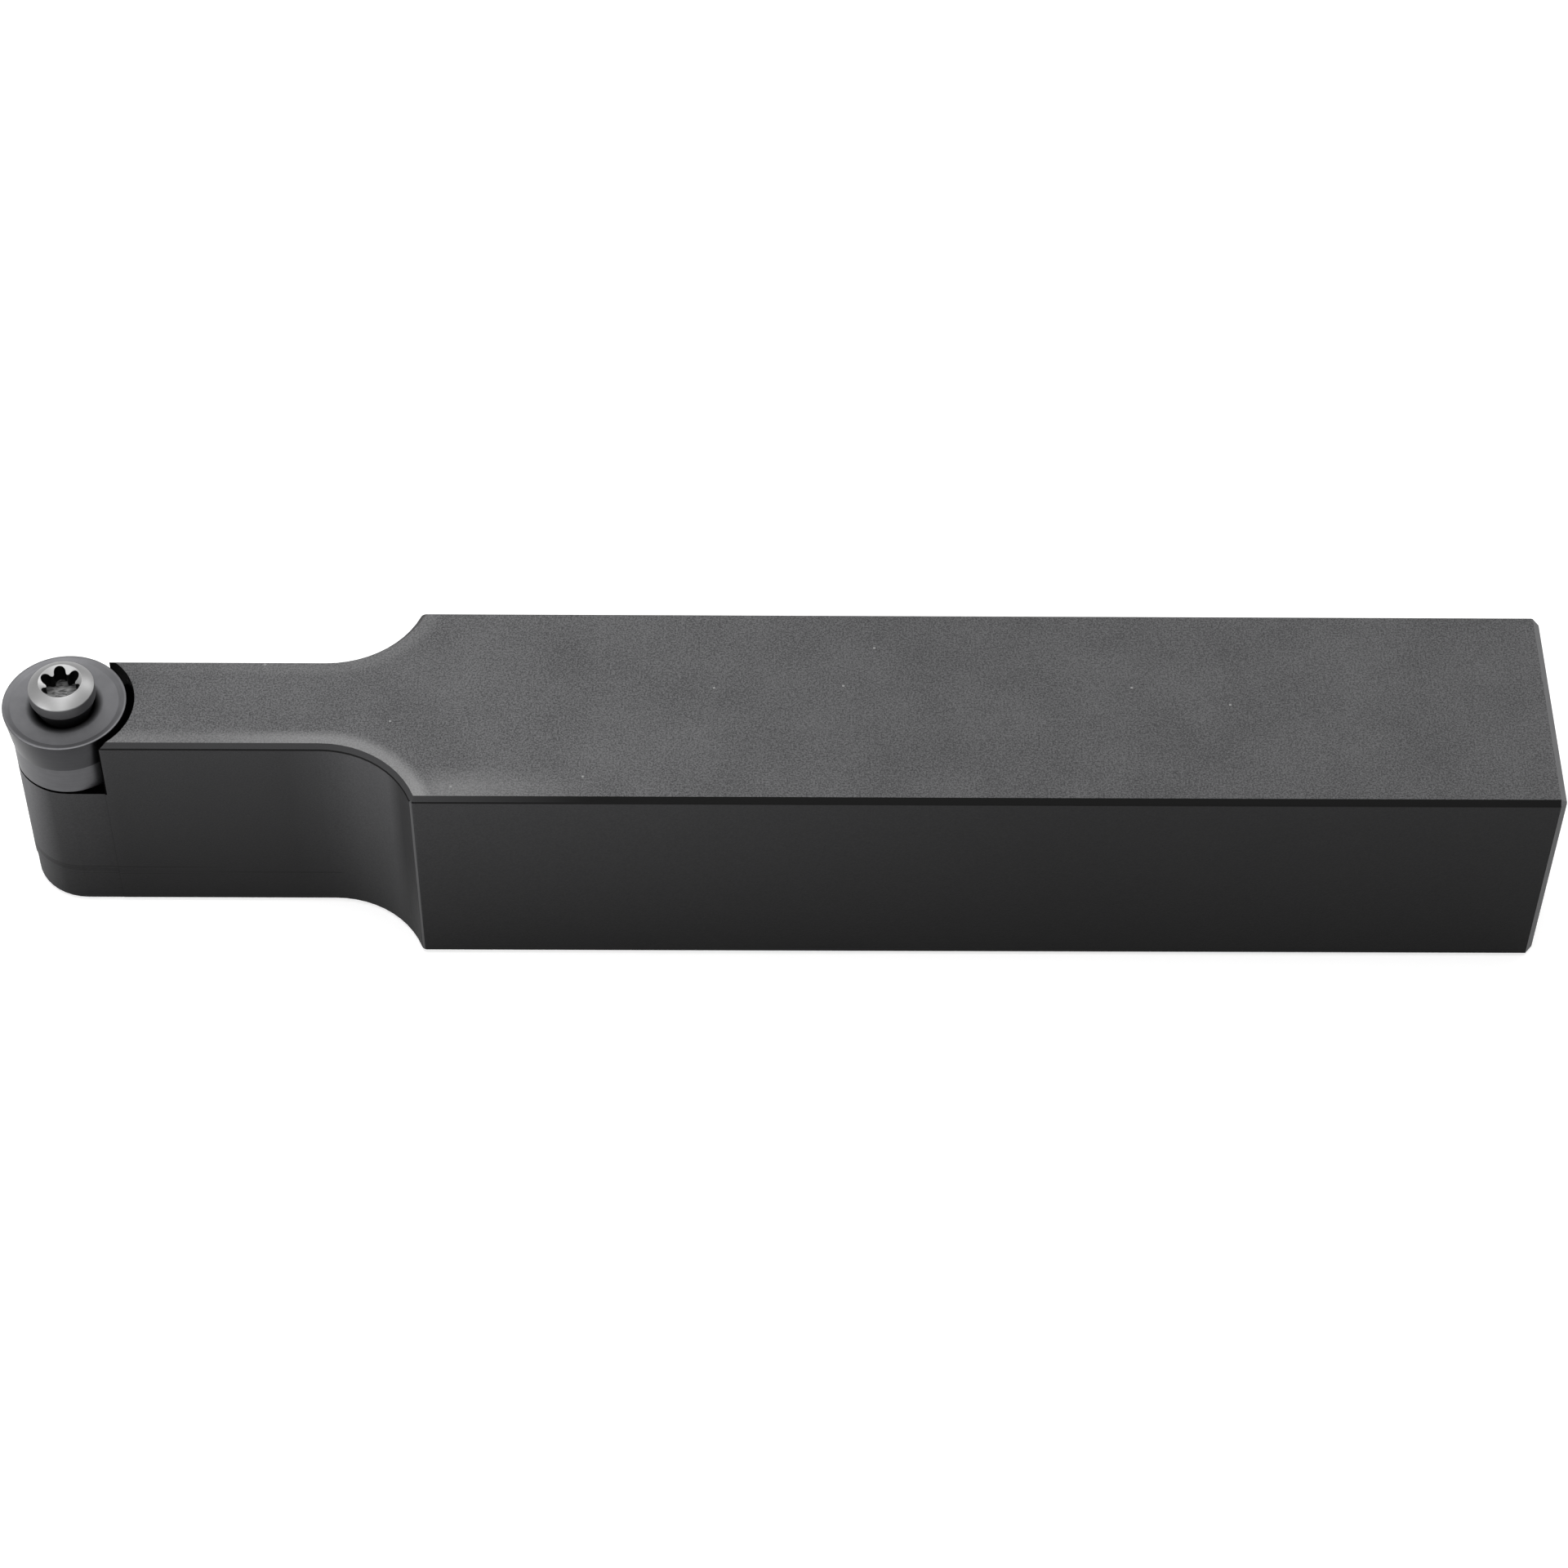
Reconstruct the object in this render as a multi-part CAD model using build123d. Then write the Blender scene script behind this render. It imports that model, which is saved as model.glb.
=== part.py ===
from build123d import *

import os
from math import acos, cos, degrees, radians, sin, tan

# Turning tool holder with a screw-clamped round insert, in millimetres.
#
# Frame: the origin is the centre of the underside, +X runs from the cutting tip towards the
# clamped end of the shank, +Y is across the shank and +Z is up. The insert, its shim and both
# screws share one upright axis at the front of the neck.

# ---------------------------------------------------------------- holder: shank, neck and nose
TOTAL_LENGTH = 125.0          # cutting tip to rear face
SHANK_WIDTH = 20.0
SHANK_HEIGHT = 20.0           # also the height of the cutting edge
LONG_EDGE_CHAMFER = 0.42      # every upper and lower edge
REAR_EDGE_CHAMFER = 0.55      # the four edges of the rear face
NECK_WIDTH = 9.25
NECK_LENGTH = 25.7            # cutting tip to where the flares leave the neck
FLARE_RADIUS = 8.0            # concave arc between the neck and each side of the shank
SHOULDER_RADIUS_LEFT = 0.05   # shoulder corner radius that the edge chamfers leave
NOSE_SETBACK = 0.07           # nose sides inside the neck sides, as far back as the pocket wall
NOSE_STEP_HEIGHT = 3.0        # below this the round nose is set back a little more
NOSE_STEP_DEPTH = 0.1
WALL_LEDGE = 0.05             # nose ends this far in front of the pocket wall's side edges

# ---------------------------------------------------------------- round insert
INSERT_DIAMETER = 10.0
INSERT_THICKNESS = 3.18
INSERT_CLEARANCE_ANGLE = 7.0  # flank taper, degrees
EDGE_LAND_WIDTH = 0.18        # narrow flat behind the cutting edge
RAKE_WIDTH = 0.47             # sloping ring inside that flat
RAKE_DROP = 0.2
INSERT_HOLE_DIAMETER = 3.8
FUNNEL_RADIUS = 1.3           # rounding between the top of the insert and its hole
INSERT_FOOT_CHAMFER = 0.08

# ---------------------------------------------------------------- shim under the insert
SHIM_THICKNESS = 2.75
SHIM_SETBACK = 0.06           # shim radius inside the foot of the insert
SHIM_EDGE_CHAMFER = 0.1
SHIM_RECESS_DEPTH = 1.5       # counterbore for the flange of the shim screw

# ---------------------------------------------------------------- pocket in the neck
POCKET_GAP = 0.57             # cutting edge to the upright wall of the pocket
POCKET_CORNER_RADIUS = 0.3
SEAT_EDGE_CHAMFER = 0.12
LAND_HALF_ANGLE = 32.0        # conical land that backs the insert, each side of +X, degrees
LAND_LIFT = 0.2               # start of the land above the foot of the insert
LAND_DROP = 1.1               # end of the land below the cutting edge
LAND_CLEARANCE = 0.04         # between the land and the insert's flank
LAND_ROOT = 0.3               # how far the land reaches into the wall behind it

# ---------------------------------------------------------------- hollow screw of the shim
SHIM_SCREW_DIAMETER = 6.0
SHIM_SCREW_LENGTH = 8.0       # under the flange
SHIM_SCREW_TIP_CHAMFER = 0.4
SHIM_FLANGE_DIAMETER = 7.0
SHIM_FLANGE_HEIGHT = 1.3
SHIM_FLANGE_CLEARANCE = 0.15
FLANGE_RIM_CHAMFER = 0.15
SHIM_SOCKET_WIDTH = 4.0       # across the flats of the hexagon
SHIM_SOCKET_DEPTH = 2.2
HOLDER_HOLE_RUNOUT = 1.6      # full-size hole left under the tip of the shim screw
HOLE_MOUTH_CHAMFER = 0.3
DRILL_POINT_ANGLE = 118.0     # degrees

# ---------------------------------------------------------------- clamp screw of the insert
CLAMP_SCREW_DIAMETER = 3.5
CLAMP_SCREW_LENGTH = 13.0     # overall
CLAMP_TIP_CHAMFER = 0.5
CLAMP_HEAD_DIAMETER = 5.32
CLAMP_HEAD_RIM = 1.05         # upright side of the head
CLAMP_DOME_RISE = 0.65        # from that side up to the mouth of the drive
CLAMP_DOME_RADIUS = 3.8
CLAMP_CONE_HALF_ANGLE = 20.0  # degrees
DRIVE_TIP_DIAMETER = 3.35     # six-lobe drive, over its lobes
DRIVE_ROOT_DIAMETER = 2.4     # between its crests
DRIVE_CREST_RADIUS = 0.6
DRIVE_TIP_RADIUS = 0.16
DRIVE_LOBES = 6
DRIVE_PHASE = 35.0            # first lobe from +X, degrees
DRIVE_DEPTH = 1.8
DRIVE_MOUTH_DIAMETER = 3.56
DRIVE_MOUTH_SLOPE = 38.0      # bevel round the mouth, degrees from flat

# ---------------------------------------------------------------- fits
THREAD_CLEARANCE = 0.05       # radial, between the plain envelopes of mating threads
SHIM_HOLE_CLEARANCE = 0.1     # radial, shim screw in the shim
CONE_CLEARANCE = 0.03         # clamp screw's cone to the insert, square to the cone

# ---------------------------------------------------------------- places that follow from these
HALF_LENGTH = TOTAL_LENGTH / 2
INSERT_RADIUS = INSERT_DIAMETER / 2
INSERT_HOLE_RADIUS = INSERT_HOLE_DIAMETER / 2
AXIS_X = -HALF_LENGTH + INSERT_RADIUS
EDGE_Z = SHANK_HEIGHT
CHIP_FLOOR_Z = EDGE_Z - RAKE_DROP
INSERT_FOOT_Z = EDGE_Z - INSERT_THICKNESS
SEAT_Z = INSERT_FOOT_Z - SHIM_THICKNESS
INSERT_FOOT_RADIUS = INSERT_RADIUS - INSERT_THICKNESS * tan(radians(INSERT_CLEARANCE_ANGLE))
POCKET_RADIUS = INSERT_RADIUS + POCKET_GAP
NECK_HALF_WIDTH = NECK_WIDTH / 2
NOSE_RADIUS = NECK_HALF_WIDTH - NOSE_SETBACK
NOSE_BACK_X = AXIS_X + (POCKET_RADIUS**2 - NECK_HALF_WIDTH**2) ** 0.5 - WALL_LEDGE
FLANGE_SEAT_Z = INSERT_FOOT_Z - SHIM_RECESS_DEPTH
FLANGE_TOP_Z = FLANGE_SEAT_Z + SHIM_FLANGE_HEIGHT
SHIM_SCREW_TIP_Z = FLANGE_SEAT_Z - SHIM_SCREW_LENGTH
SHIM_SCREW_RADIUS = SHIM_SCREW_DIAMETER / 2
CLAMP_SCREW_RADIUS = CLAMP_SCREW_DIAMETER / 2
CLAMP_HEAD_RADIUS = CLAMP_HEAD_DIAMETER / 2
CONE_ANGLE = radians(CLAMP_CONE_HALF_ANGLE)
TOOL_AXIS = Axis((AXIS_X, 0, 0), (0, 0, 1))


def turned(*corners, arc=360):
    """A solid turned about the tool axis from (radius, height) corners, starting towards +X."""
    points = [(AXIS_X + radius, 0, height) for radius, height in corners]
    return revolve(make_face(Polyline(points, close=True)), TOOL_AXIS, arc)


def clamp_rim_z():
    """Height where the clamp screw's cone meets its upright rim, with the cone seated."""
    # The cone meets the rounded funnel where the rounding is as steep as the cone.
    touch_radius = INSERT_HOLE_RADIUS + FUNNEL_RADIUS * (1 - cos(CONE_ANGLE))
    touch_z = CHIP_FLOOR_Z - FUNNEL_RADIUS * (1 - sin(CONE_ANGLE))
    lift = CONE_CLEARANCE / sin(CONE_ANGLE)
    return touch_z + (CLAMP_HEAD_RADIUS - touch_radius) / tan(CONE_ANGLE) + lift


def shank_and_neck():
    """Square shank, two concave flares and the slim neck, at full height, edges broken."""
    half_shank = SHANK_WIDTH / 2
    flare_x = -HALF_LENGTH + NECK_LENGTH
    flare_y = NECK_HALF_WIDTH + FLARE_RADIUS
    flare_turn = degrees(acos((flare_y - half_shank) / FLARE_RADIUS))
    with BuildPart() as body:
        with BuildSketch() as plan:
            with BuildLine():
                left = CenterArc((flare_x, flare_y), FLARE_RADIUS, -90, flare_turn)
                right = CenterArc((flare_x, -flare_y), FLARE_RADIUS, 90, -flare_turn)
                Polyline(left @ 1, (HALF_LENGTH, half_shank), (HALF_LENGTH, -half_shank), right @ 1)
                Polyline(
                    left @ 0,
                    (NOSE_BACK_X, NECK_HALF_WIDTH),
                    (NOSE_BACK_X, -NECK_HALF_WIDTH),
                    right @ 0,
                )
            make_face()
            shoulders = plan.vertices().group_by(Axis.X)[-2]
            fillet(shoulders, LONG_EDGE_CHAMFER + SHOULDER_RADIUS_LEFT)
        extrude(amount=SHANK_HEIGHT)
        rear = body.faces().sort_by(Axis.X)[-1]
        front = body.faces().sort_by(Axis.X)[0]
        flats = [body.faces().sort_by(Axis.Z)[0], body.faces().sort_by(Axis.Z)[-1]]
        end_edges = rear.edges() + front.edges()
        long_edges = [edge for flat in flats for edge in flat.edges() if edge not in end_edges]
        chamfer(long_edges, LONG_EDGE_CHAMFER)
        chamfer(body.faces().sort_by(Axis.X)[-1].edges(), REAR_EDGE_CHAMFER)
    return body.part


def nose_plan(setback):
    """The nose from above: a half round about the tool axis and straight sides behind it."""
    centre_x = AXIS_X + setback
    with BuildSketch() as plan:
        with BuildLine():
            ThreePointArc(
                (centre_x, NOSE_RADIUS),
                (centre_x - NOSE_RADIUS, 0),
                (centre_x, -NOSE_RADIUS),
            )
            Polyline(
                (centre_x, -NOSE_RADIUS),
                (NOSE_BACK_X, -NOSE_RADIUS),
                (NOSE_BACK_X, NOSE_RADIUS),
                (centre_x, NOSE_RADIUS),
            )
        make_face()
    return plan.sketch


def nose():
    """The round nose under the shim, its lower part set back, with broken edges."""
    foot = extrude(nose_plan(NOSE_STEP_DEPTH), NOSE_STEP_HEIGHT)
    back = foot.faces().sort_by(Axis.X)[-1].edges()
    rim = [edge for edge in foot.faces().sort_by(Axis.Z)[0].edges() if edge not in back]
    foot = chamfer(rim, LONG_EDGE_CHAMFER - NOSE_SETBACK)
    upper = Pos(0, 0, NOSE_STEP_HEIGHT) * extrude(nose_plan(0), SEAT_Z - NOSE_STEP_HEIGHT)
    back = upper.faces().sort_by(Axis.X)[-1].edges()
    rim = [edge for edge in upper.faces().sort_by(Axis.Z)[-1].edges() if edge not in back]
    upper = chamfer(rim, SEAT_EDGE_CHAMFER)
    return foot + upper


def pocket():
    """What the pocket removes: everything over the seat, round at the foot of its wall."""
    top = EDGE_Z + POCKET_RADIUS
    inner = POCKET_RADIUS - POCKET_CORNER_RADIUS
    lift = POCKET_CORNER_RADIUS
    with BuildSketch(Plane.XZ) as profile:
        with BuildLine():
            Polyline((AXIS_X, top), (AXIS_X, SEAT_Z), (AXIS_X + inner, SEAT_Z))
            RadiusArc((AXIS_X + inner, SEAT_Z), (AXIS_X + POCKET_RADIUS, SEAT_Z + lift), -lift)
            Polyline(
                (AXIS_X + POCKET_RADIUS, SEAT_Z + lift),
                (AXIS_X + POCKET_RADIUS, top),
                (AXIS_X, top),
            )
        make_face()
    return revolve(profile.sketch, TOOL_AXIS)


def backing_land():
    """Conical land on the pocket wall that backs the flank of the insert."""
    taper = tan(radians(INSERT_CLEARANCE_ANGLE))
    gap = LAND_CLEARANCE / cos(radians(INSERT_CLEARANCE_ANGLE))
    root = POCKET_RADIUS + LAND_ROOT
    sector = turned(
        (INSERT_FOOT_RADIUS + LAND_LIFT * taper + gap, INSERT_FOOT_Z + LAND_LIFT),
        (INSERT_RADIUS - LAND_DROP * taper + gap, EDGE_Z - LAND_DROP),
        (root, EDGE_Z - LAND_DROP),
        (root, INSERT_FOOT_Z + LAND_LIFT),
        arc=2 * LAND_HALF_ANGLE,
    )
    return sector.rotate(TOOL_AXIS, -LAND_HALF_ANGLE)


def shim_screw_hole():
    """Tapped blind hole in the seat, as its plain envelope, with a drill point."""
    radius = SHIM_SCREW_RADIUS + THREAD_CLEARANCE
    bottom = SHIM_SCREW_TIP_Z - HOLDER_HOLE_RUNOUT
    point = radius / tan(radians(DRILL_POINT_ANGLE / 2))
    mouth = radius + HOLE_MOUTH_CHAMFER
    return turned(
        (0, bottom - point),
        (radius, bottom),
        (radius, SEAT_Z - HOLE_MOUTH_CHAMFER),
        (mouth, SEAT_Z),
        (mouth, SEAT_Z + HOLE_MOUTH_CHAMFER),
        (0, SEAT_Z + HOLE_MOUTH_CHAMFER),
    )


def holder():
    """Square shank, slim neck and round nose in one piece, with the insert's pocket."""
    blank = shank_and_neck() + nose()
    return blank - pocket() + backing_land() - shim_screw_hole()


def shim():
    """Round carbide shim with a counterbored hole for its screw."""
    outer = INSERT_FOOT_RADIUS - SHIM_SETBACK
    hole = SHIM_SCREW_RADIUS + SHIM_HOLE_CLEARANCE
    recess = SHIM_FLANGE_DIAMETER / 2 + SHIM_FLANGE_CLEARANCE
    return turned(
        (hole, SEAT_Z),
        (outer - SHIM_EDGE_CHAMFER, SEAT_Z),
        (outer, SEAT_Z + SHIM_EDGE_CHAMFER),
        (outer, INSERT_FOOT_Z),
        (recess, INSERT_FOOT_Z),
        (recess, FLANGE_SEAT_Z),
        (hole, FLANGE_SEAT_Z),
    )


def shim_screw():
    """Hollow flanged screw that holds the shim down and takes the clamp screw inside."""
    bore = CLAMP_SCREW_RADIUS + THREAD_CLEARANCE
    flange = SHIM_FLANGE_DIAMETER / 2
    tip = SHIM_SCREW_RADIUS - SHIM_SCREW_TIP_CHAMFER
    body = turned(
        (bore, SHIM_SCREW_TIP_Z),
        (tip, SHIM_SCREW_TIP_Z),
        (SHIM_SCREW_RADIUS, SHIM_SCREW_TIP_Z + SHIM_SCREW_TIP_CHAMFER),
        (SHIM_SCREW_RADIUS, FLANGE_SEAT_Z),
        (flange, FLANGE_SEAT_Z),
        (flange, FLANGE_TOP_Z - FLANGE_RIM_CHAMFER),
        (flange - FLANGE_RIM_CHAMFER, FLANGE_TOP_Z),
        (bore, FLANGE_TOP_Z),
    )
    hexagon = RegularPolygon(SHIM_SOCKET_WIDTH / 2, 6, major_radius=False)
    floor = Pos(AXIS_X, 0, FLANGE_TOP_Z - SHIM_SOCKET_DEPTH)
    return body - floor * extrude(hexagon, SHIM_SOCKET_DEPTH)


def insert():
    """Round positive insert: flank, edge land, sloping rake and a funnel into its hole."""
    taper = tan(radians(INSERT_CLEARANCE_ANGLE))
    foot = INSERT_FOOT_RADIUS + INSERT_FOOT_CHAMFER * taper
    rake_top = INSERT_RADIUS - EDGE_LAND_WIDTH
    funnel_mouth = (AXIS_X + INSERT_HOLE_RADIUS + FUNNEL_RADIUS, CHIP_FLOOR_Z)
    funnel_throat = (AXIS_X + INSERT_HOLE_RADIUS, CHIP_FLOOR_Z - FUNNEL_RADIUS)
    with BuildSketch(Plane.XZ) as profile:
        with BuildLine():
            Polyline(
                funnel_throat,
                (AXIS_X + INSERT_HOLE_RADIUS, INSERT_FOOT_Z),
                (AXIS_X + INSERT_FOOT_RADIUS - INSERT_FOOT_CHAMFER, INSERT_FOOT_Z),
                (AXIS_X + foot, INSERT_FOOT_Z + INSERT_FOOT_CHAMFER),
                (AXIS_X + INSERT_RADIUS, EDGE_Z),
                (AXIS_X + rake_top, EDGE_Z),
                (AXIS_X + rake_top - RAKE_WIDTH, CHIP_FLOOR_Z),
                funnel_mouth,
            )
            RadiusArc(funnel_mouth, funnel_throat, FUNNEL_RADIUS)
        make_face()
    return revolve(profile.sketch, TOOL_AXIS)


def drive_recess(top):
    """Six-lobe recess with a bevelled mouth, cut down from the top of the clamp screw."""
    crests = PolarLocations(
        DRIVE_ROOT_DIAMETER / 2 + DRIVE_CREST_RADIUS,
        DRIVE_LOBES,
        start_angle=180 / DRIVE_LOBES,
    )
    with BuildSketch() as lobes:
        Circle(DRIVE_TIP_DIAMETER / 2)
        with crests:
            Circle(DRIVE_CREST_RADIUS, mode=Mode.SUBTRACT)
        fillet(lobes.vertices(), DRIVE_TIP_RADIUS)
    recess = Rot(0, 0, DRIVE_PHASE) * extrude(lobes.sketch, DRIVE_DEPTH)
    mouth = DRIVE_MOUTH_DIAMETER / 2
    bevel = turned((0, top), (mouth, top), (0, top - mouth * tan(radians(DRIVE_MOUTH_SLOPE))))
    return Pos(AXIS_X, 0, top - DRIVE_DEPTH) * recess + bevel


def clamp_screw():
    """Domed six-lobe screw with a slim cone, through the insert and the shim screw."""
    rim = clamp_rim_z()
    dome_foot = (AXIS_X + CLAMP_HEAD_RADIUS, rim + CLAMP_HEAD_RIM)
    top = rim + CLAMP_HEAD_RIM + CLAMP_DOME_RISE
    dome_top = (AXIS_X + DRIVE_MOUTH_DIAMETER / 2, top)
    tip = top - CLAMP_SCREW_LENGTH
    cone_length = (CLAMP_HEAD_RADIUS - CLAMP_SCREW_RADIUS) / tan(CONE_ANGLE)
    with BuildSketch(Plane.XZ) as profile:
        with BuildLine():
            Polyline(
                dome_top,
                (AXIS_X, top),
                (AXIS_X, tip),
                (AXIS_X + CLAMP_SCREW_RADIUS - CLAMP_TIP_CHAMFER, tip),
                (AXIS_X + CLAMP_SCREW_RADIUS, tip + CLAMP_TIP_CHAMFER),
                (AXIS_X + CLAMP_SCREW_RADIUS, rim - cone_length),
                (AXIS_X + CLAMP_HEAD_RADIUS, rim),
                dome_foot,
            )
            RadiusArc(dome_foot, dome_top, -CLAMP_DOME_RADIUS)
        make_face()
    return revolve(profile.sketch, TOOL_AXIS) - drive_recess(top)


NODES = {
    "holder": holder,
    "shim": shim,
    "shim_screw": shim_screw,
    "insert": insert,
    "clamp_screw": clamp_screw,
}

os.makedirs("parts", exist_ok=True)
for name, build in NODES.items():
    export_step(build(), f"parts/{name}.step")
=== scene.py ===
import logging
from dataclasses import dataclass
from enum import Enum
from math import acos, atan2, cos, pi, radians, sin, sqrt, tan
from typing import Any

import bpy
from mathutils import Matrix, Vector


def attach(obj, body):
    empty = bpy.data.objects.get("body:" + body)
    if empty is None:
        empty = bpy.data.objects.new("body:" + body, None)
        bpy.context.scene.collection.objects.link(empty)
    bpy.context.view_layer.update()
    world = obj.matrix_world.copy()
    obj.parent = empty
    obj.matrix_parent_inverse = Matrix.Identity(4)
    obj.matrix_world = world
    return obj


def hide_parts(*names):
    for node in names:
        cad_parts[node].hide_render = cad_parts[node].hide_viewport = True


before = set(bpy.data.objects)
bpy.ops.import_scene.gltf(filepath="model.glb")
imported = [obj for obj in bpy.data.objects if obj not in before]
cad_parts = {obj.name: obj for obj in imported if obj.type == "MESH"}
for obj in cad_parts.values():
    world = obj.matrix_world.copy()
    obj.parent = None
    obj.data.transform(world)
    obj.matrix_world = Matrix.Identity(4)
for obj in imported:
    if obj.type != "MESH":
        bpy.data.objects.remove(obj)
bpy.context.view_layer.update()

LOG = logging.getLogger("turning_tool")
MM = 0.001
Tree, Node, Socket = bpy.types.NodeTree, bpy.types.Node, bpy.types.NodeSocket
Solid, Material = bpy.types.Object, bpy.types.Material
AXIS_X = -57.5  # upright axis that the insert, its shim and both screws share, in mm
WELD = 1e-7  # vertices nearer than this are one, in metres
SLIVER = 1e-6  # edges shorter than this are closed after each cut, in metres
SMOOTH_BELOW = 17.0  # edges that turn less than this are shaded smooth, in degrees


class Cut(Enum):
    """How one solid changes another."""

    JOIN = "UNION"
    TAKE_AWAY = "DIFFERENCE"
    TRIM = "INTERSECT"


class Body(Enum):
    """The moving bodies of the tool."""

    TOOL = "tool"
    INSERT = "round_insert"
    SCREW = "screw"


def linear(hex_colour: str) -> tuple[float, float, float, float]:
    """Turns an sRGB hex colour into linear light.

    Args:
        hex_colour: Six hex digits, such as "5c5c5e".

    Returns:
        Red, green, blue and an alpha of 1, linear.
    """
    channels = [int(hex_colour[at : at + 2], 16) / 255 for at in (0, 2, 4)]
    light = [c / 12.92 if c <= 0.04045 else ((c + 0.055) / 1.055) ** 2.4 for c in channels]
    return (*light, 1.0)


def add_node(
    tree: Tree, kind: str, inputs: dict[Any, Any] | None = None, **settings: Any
) -> Node:
    """Adds one shader node with its settings, socket values and links.

    Args:
        tree: The node tree that gets the node.
        kind: The node's type name, less the "ShaderNode" that all of them begin with.
        inputs: Socket name or number to a value, to the output that is linked to it, or to a
            node whose first output is.
        settings: Properties of the node itself.

    Returns:
        The new node.
    """
    node = tree.nodes.new("ShaderNode" + kind)
    for name, value in settings.items():
        setattr(node, name, value)
    for socket, value in (inputs or {}).items():
        if isinstance(value, (Node, Socket)):
            source = value.outputs[0] if isinstance(value, Node) else value
            tree.links.new(source, node.inputs[socket])
        else:
            node.inputs[socket].default_value = value
    return node


def new_material(name: str) -> tuple[Material, Tree]:
    """Makes a material with an empty node tree.

    Args:
        name: The material's name.

    Returns:
        The material and its node tree.
    """
    material = bpy.data.materials.new(name)
    material.use_nodes = True
    material.node_tree.nodes.clear()
    return material, material.node_tree


def axis_distance(tree: Tree) -> Socket:
    """Builds the distance from the tool axis, in metres.

    Args:
        tree: The material's node tree.

    Returns:
        The output that carries the distance.
    """
    place = add_node(tree, "TexCoord").outputs["Object"]
    centred = add_node(
        tree, "Mapping", {"Vector": place, "Location": (-AXIS_X * MM, 0, 0), "Scale": (1, 1, 0)}
    )
    reach = add_node(tree, "VectorMath", {0: centred}, operation="LENGTH")
    return reach.outputs["Value"]


def height_above_base(tree: Tree) -> Socket:
    """Builds the height above the underside of the shank, in metres.

    Args:
        tree: The material's node tree.

    Returns:
        The output that carries the height.
    """
    place = add_node(tree, "TexCoord").outputs["Object"]
    return add_node(tree, "SeparateXYZ", {0: place}).outputs["Z"]


def openness(tree: Tree, reach_mm: float, closed: float, free: float) -> Socket:
    """Builds a factor that falls to 0 in narrow gaps, as painted shade where light hardly reaches.

    Args:
        tree: The material's node tree.
        reach_mm: How wide a gap still counts as narrow, in millimetres.
        closed: Share of free space at which the painted shade is all black.
        free: Share of free space from which a surface has no painted shade.

    Returns:
        The output that carries the factor, 1 on open surfaces.
    """
    shelter = add_node(
        tree, "AmbientOcclusion", {"Distance": reach_mm * MM}, samples=12, only_local=False
    )
    return add_node(
        tree,
        "MapRange",
        {"Value": shelter.outputs["AO"], 1: closed, 2: free},
        interpolation_type="SMOOTHSTEP",
    ).outputs[0]


def zone(
    tree: Tree, axis: str, start: float, end: float, before: float = 0.0, past: float = 1.0
) -> Socket:
    """Builds a factor that passes from one level to another along an axis of the part.

    Args:
        tree: The material's node tree.
        axis: "X", "Y" or "Z".
        start: Where the passage starts, in millimetres.
        end: Where it ends, in millimetres.
        before: The level on the side of the start.
        past: The level on the side of the end.

    Returns:
        The output that carries the factor.
    """
    place = add_node(tree, "TexCoord").outputs["Object"]
    along = add_node(tree, "SeparateXYZ", {0: place}).outputs[axis]
    passage = {"Value": along, 1: start * MM, 2: end * MM, 3: before, 4: past}
    return add_node(tree, "MapRange", passage).outputs[0]


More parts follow.
